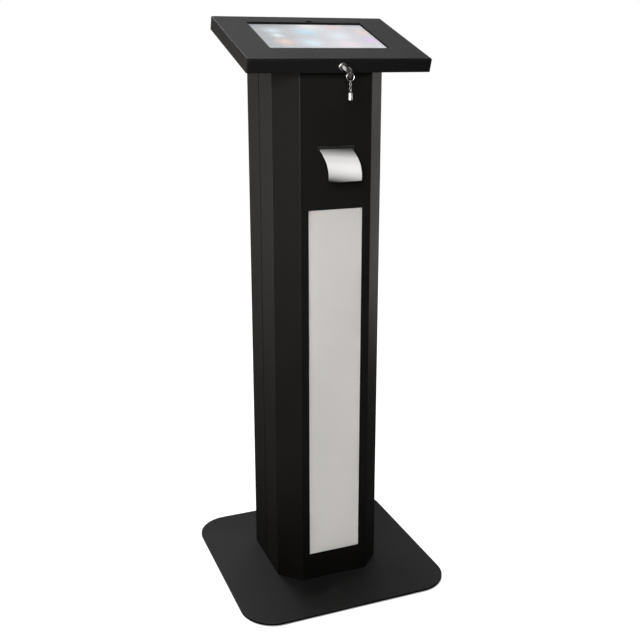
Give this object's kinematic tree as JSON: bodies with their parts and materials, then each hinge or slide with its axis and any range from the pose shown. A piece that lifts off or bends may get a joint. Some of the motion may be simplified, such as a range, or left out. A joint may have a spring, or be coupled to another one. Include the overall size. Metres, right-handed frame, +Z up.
{
  "type": "tablet kiosk stand",
  "caption": "floor standing tablet kiosk: tilted lockable head over a folded steel column with sign window, receipt printer slot, rear door and square foot plate",
  "frame": {"origin": "on the floor, at the middle of the foot plate", "axes": "+Z up, front (the side with the sign, the slot and the key) towards -Y, +X to the right seen from the front"},
  "size_m": [0.4, 0.4, 1.0345],
  "materials": {
    "black_powder": "satin black powder coat, fine texture",
    "black_base": "satin black powder coat, fine texture",
    "zinc_steel": "bright zinc plate",
    "chrome_lock": "polished chrome",
    "key_nickel": "nickel plate, lightly worn",
    "foot_rubber": "matte rubber",
    "black_plastic": "fine matte grain",
    "gasket_foam": "matte closed-cell foam",
    "tablet_body": "matte dark grey",
    "screen_glass": "polished cover glass",
    "screen_image": "lit display, soft pale wallpaper",
    "lens_black": "polished dark lens",
    "sign_clear": "clear acrylic sheet, gloss",
    "sign_paper": "plain pale grey print paper",
    "sign_board": "foamed white board",
    "receipt_paper": "smooth thermal paper",
    "core_board": "grey-brown wound board",
    "roller_rubber": "smooth soft rubber",
    "tear_steel": "brushed"
  },
  "bodies": {
    "stand": {"base_plate": "black_base", "foot_pads": "foot_rubber", "foot_bracket": "zinc_steel", "base_bolts": "zinc_steel", "base_nuts": "zinc_steel", "column_front": "black_powder", "neck_collar": "black_powder", "head_mount_plate": "black_powder", "head_bolts": "zinc_steel", "head_nuts": "zinc_steel", "head_grommet": "foot_rubber", "head_tray": "black_powder", "corner_holders": "black_plastic", "holder_screws": "zinc_steel", "tablet_case": "tablet_body", "tablet_display": "screen_image", "tablet_glass": "screen_glass", "tablet_camera": "lens_black", "lock_strike": "zinc_steel", "tray_hinge_leaves": "black_powder", "cover_hinge_pins": "zinc_steel", "column_hinge_leaves": "black_powder", "door_hinge_pins": "zinc_steel", "door_strike": "zinc_steel", "printer_chassis": "zinc_steel", "printer_studs": "zinc_steel", "printer_nuts": "zinc_steel", "print_head": "black_plastic", "tear_bar": "tear_steel", "roll_spindle": "black_plastic", "paper_strip": "receipt_paper", "sign_cover": "sign_clear", "sign_insert": "sign_paper", "sign_backing": "sign_board", "sign_frame": "black_plastic"},
    "head_cover": {"head_cover": "black_powder", "window_gasket": "gasket_foam", "cover_hinge_leaves": "black_powder", "lock_housing": "chrome_lock", "lock_nut": "zinc_steel"},
    "lock_plug": {"lock_plug": "chrome_lock", "lock_cam": "zinc_steel", "cam_screw": "zinc_steel"},
    "key": {"key": "key_nickel"},
    "key_ring": {"key_ring": "chrome_lock"},
    "key_chain": {"key_chain": "chrome_lock"},
    "key_tag": {"key_tag": "chrome_lock"},
    "rear_door": {"rear_door": "black_powder", "cable_trim": "black_plastic", "door_hinge_leaves": "black_powder", "door_lock_housing": "chrome_lock", "door_lock_nut": "zinc_steel"},
    "door_lock_plug": {"door_lock_plug": "chrome_lock", "door_lock_cam": "zinc_steel", "door_cam_screw": "zinc_steel"},
    "paper_roll": {"paper_roll": "receipt_paper", "paper_core": "core_board"},
    "platen_roller": {"platen_roller": "roller_rubber", "platen_shaft": "zinc_steel"}
  },
  "joints": [
    {"name": "cover_hinge", "type": "hinge", "parent": "stand", "child": "head_cover", "pos_m": [0, 0.09719, 1.01517], "axis": [-1, 0, 0], "range_deg": [0, 95]},
    {"name": "lock_turn", "type": "hinge", "parent": "head_cover", "child": "lock_plug", "pos_m": [0, -0.1184, 0.95109], "axis": [0, -0.9455, -0.3256], "range_deg": [0, 90]},
    {"name": "key_slide", "type": "slide", "parent": "lock_plug", "child": "key", "axis": [0, -0.9455, -0.3256], "range_m": [0, 0.03]},
    {"name": "ring_swing", "type": "hinge", "parent": "key", "child": "key_ring", "pos_m": [0, -0.15061, 0.94177], "axis": [1, 0, 0], "range_deg": [-35, 35]},
    {"name": "chain_swing", "type": "hinge", "parent": "key_ring", "child": "key_chain", "pos_m": [0, -0.15061, 0.92897], "axis": [1, 0, 0], "range_deg": [-40, 40]},
    {"name": "tag_swing", "type": "hinge", "parent": "key_chain", "child": "key_tag", "pos_m": [0, -0.15061, 0.91502], "axis": [1, 0, 0], "range_deg": [-40, 40]},
    {"name": "door_hinge", "type": "hinge", "parent": "stand", "child": "rear_door", "pos_m": [0.1037, 0.01425, 0.49], "axis": [0, 0, -1], "range_deg": [0, 110]},
    {"name": "door_lock_turn", "type": "hinge", "parent": "rear_door", "child": "door_lock_plug", "pos_m": [-0.066, 0.083, 0.5], "axis": [0, 1, 0], "range_deg": [0, 90]},
    {"name": "roll_spin", "type": "hinge", "parent": "stand", "child": "paper_roll", "pos_m": [0, -0.051, 0.7907], "axis": [1, 0, 0], "continuous": true},
    {"name": "platen_spin", "type": "hinge", "parent": "stand", "child": "platen_roller", "pos_m": [0, -0.08, 0.82135], "axis": [1, 0, 0], "continuous": true}
  ],
  "couplings": [
    {"joint": "platen_spin", "follows": "roll_spin", "ratio": -4}
  ]
}
